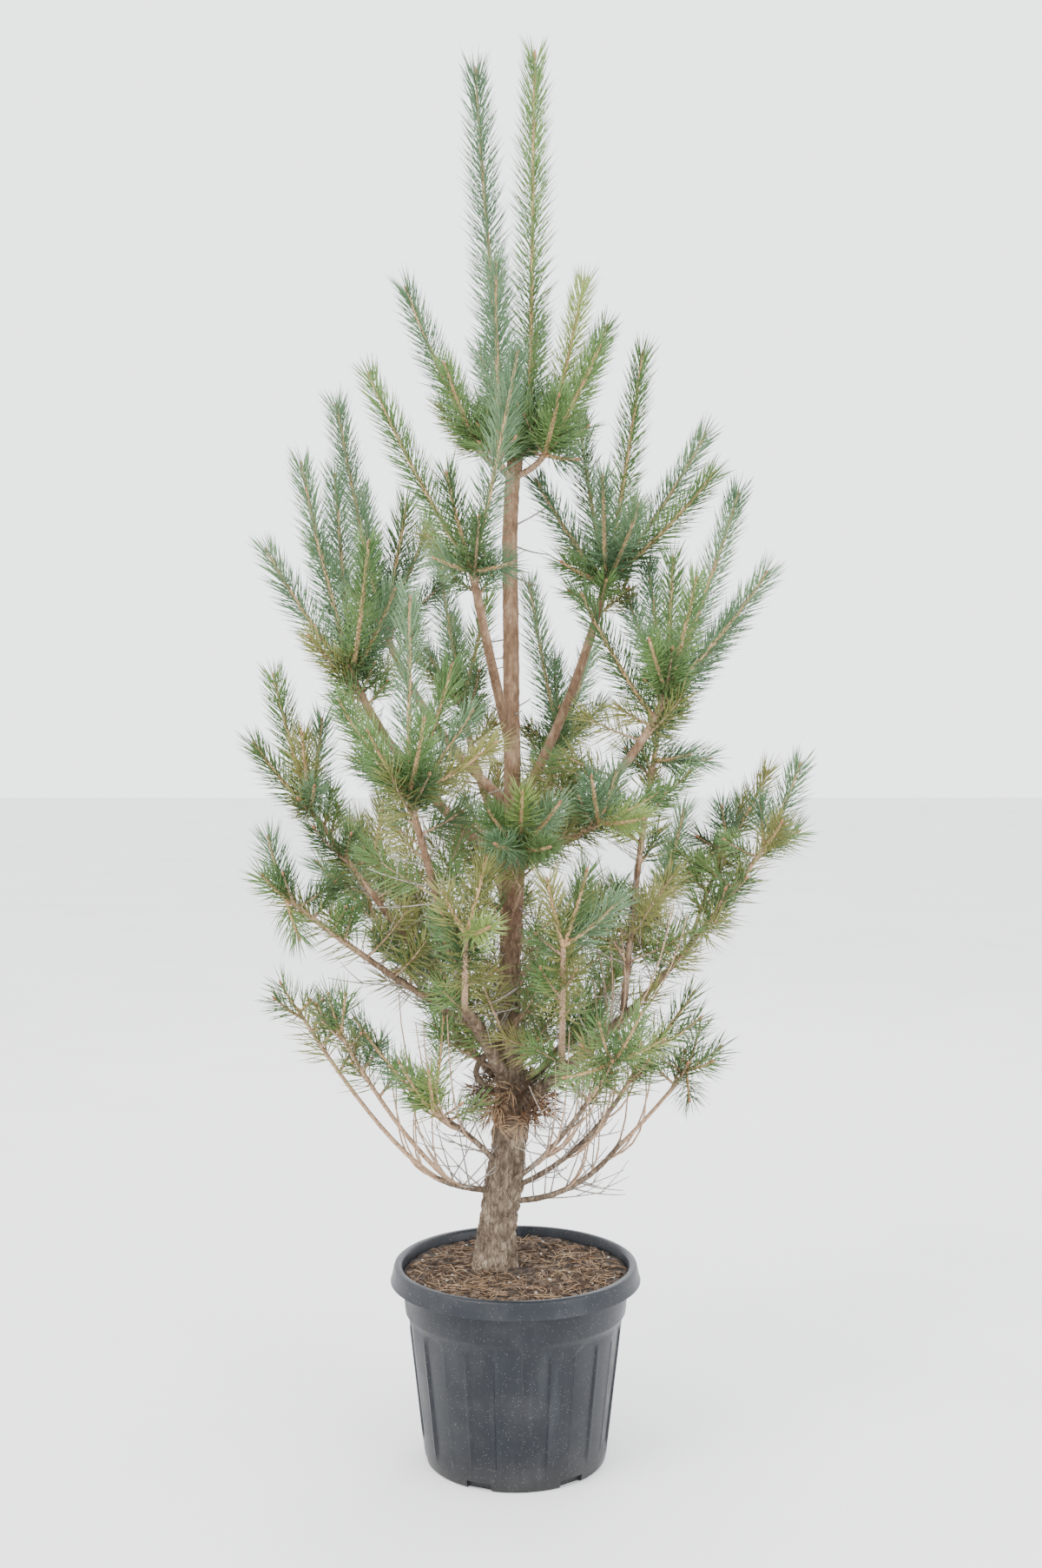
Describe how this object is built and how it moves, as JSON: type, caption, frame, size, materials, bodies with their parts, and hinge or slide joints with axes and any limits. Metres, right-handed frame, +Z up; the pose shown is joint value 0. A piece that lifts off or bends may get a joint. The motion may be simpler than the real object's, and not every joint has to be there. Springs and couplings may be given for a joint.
{
  "type": "potted scots pine",
  "caption": "Young scots pine with two leaders, whorls of needled boughs down to its low twigs, standing in a round fluted nursery container full of compost.",
  "frame": {"origin": "middle of the pot's flat underside", "axes": "+Z up along the tree, -Y towards the side with the best face, +X to that viewer's right"},
  "size_m": [0.9496, 0.8522, 2.3569],
  "materials": {
    "pot_plastic": "dusty dark grey moulded plastic",
    "compost": "dry bark compost under fallen needles",
    "bark": "rough plated bark, flaking orange above",
    "needles": "blue-green needles in pairs, with a dull sheen"
  },
  "bodies": {
    "root": {"bough_back_left": "bark", "bough_back_left_low": "bark", "bough_back_low": "bark", "bough_back_right": "bark", "bough_back_right_low": "bark", "bough_left_back_upper": "bark", "bough_left_fork": "bark", "bough_left_front": "bark", "bough_left_front_upper": "bark", "bough_left_lower": "bark", "bough_left_middle": "bark", "bough_left_upper": "bark", "bough_low_left": "bark", "bough_low_left_upper": "bark", "bough_low_right": "bark", "bough_low_right_front": "bark", "bough_low_right_upper": "bark", "bough_right_back_middle": "bark", "bough_right_fork": "bark", "bough_right_middle": "bark", "bough_right_outer": "bark", "bough_right_upper": "bark", "compost": "compost", "needles_back_left": "needles", "needles_back_left_low": "needles", "needles_back_low": "needles", "needles_back_right": "needles", "needles_back_right_low": "needles", "needles_front_left_low": "needles", "needles_front_middle": "needles", "needles_front_right_low": "needles", "needles_leader_left": "needles", "needles_leader_right": "needles", "needles_left_back_upper": "needles", "needles_left_front": "needles", "needles_left_front_upper": "needles", "needles_left_inner": "needles", "needles_left_lower": "needles", "needles_left_middle": "needles", "needles_left_upper": "needles", "needles_low_back": "needles", "needles_low_left_inner": "needles", "needles_low_left_outer": "needles", "needles_low_left_upper": "needles", "needles_low_right_front": "needles", "needles_low_right_outer": "needles", "needles_low_right_upper": "needles", "needles_right_back_middle": "needles", "needles_right_inner": "needles", "needles_right_middle": "needles", "needles_right_outer": "needles", "needles_right_outer_inner": "needles", "needles_right_upper": "needles", "needles_top_back": "needles", "needles_top_front": "needles", "needles_top_left": "needles", "needles_top_right": "needles", "pot": "pot_plastic", "trunk": "bark"}
  },
  "joints": []
}
